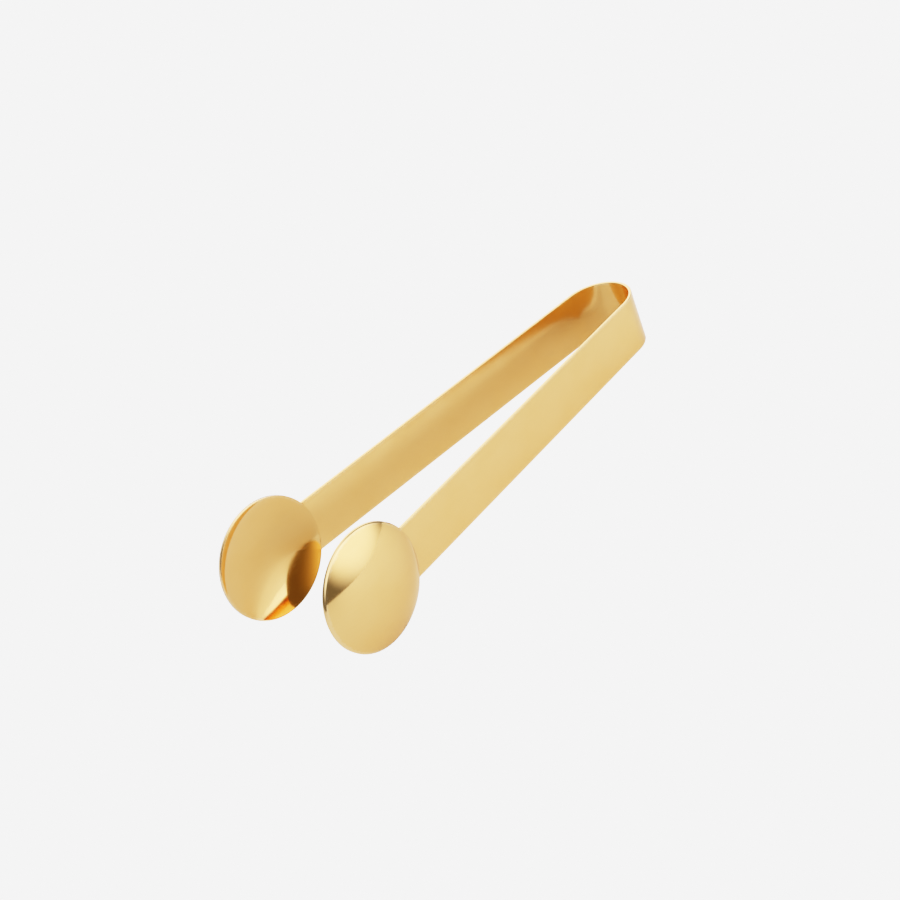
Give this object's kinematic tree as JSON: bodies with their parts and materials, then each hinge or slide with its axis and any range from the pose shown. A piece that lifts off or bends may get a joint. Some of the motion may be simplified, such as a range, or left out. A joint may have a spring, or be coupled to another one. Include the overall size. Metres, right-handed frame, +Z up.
{
  "type": "ice tongs",
  "caption": "Spring tongs for ice: a gold-finished steel strip bent into a U-shaped bow, with two flat spreading arms that end in round dished bowls.",
  "frame": {"origin": "centre of the base of the object's box, on the surface that the tongs stand on edge on: the lower edge of the bow and the lowest points of both bowl rims lie at z = 0", "axes": "+X lengthwise, from the jaws to the bow; +Y from the front arm to the rear arm, the direction that the jaws open and close in; +Z up, across the strip's width but for the 4.1 degree lean with which the tongs lie on a table"},
  "size_m": [0.1728, 0.0574, 0.04],
  "materials": {
    "gold_steel": "stainless steel with a thin pale gold coating, polished to a soft mirror all over"
  },
  "bodies": {
    "bow": {"spring_bow": "gold_steel"},
    "front_half": {"front_shoulder": "gold_steel", "front_arm": "gold_steel", "front_bowl": "gold_steel"},
    "rear_half": {"rear_shoulder": "gold_steel", "rear_arm": "gold_steel", "rear_bowl": "gold_steel"}
  },
  "joints": [
    {"name": "front_squeeze", "type": "hinge", "parent": "bow", "child": "front_half", "pos_m": [0.0821, -0.00812, 0.00942], "axis": [-0.0707, 0, -0.9975], "range_deg": [-2, 7.8], "stiffness_Nm_per_rad": 5.5},
    {"name": "rear_squeeze", "type": "hinge", "parent": "bow", "child": "rear_half", "pos_m": [0.0821, 0.00812, 0.00942], "axis": [0.0707, 0, 0.9975], "range_deg": [-2, 7.8], "stiffness_Nm_per_rad": 5.5}
  ],
  "couplings": [
    {"joint": "rear_squeeze", "follows": "front_squeeze", "ratio": 1}
  ]
}
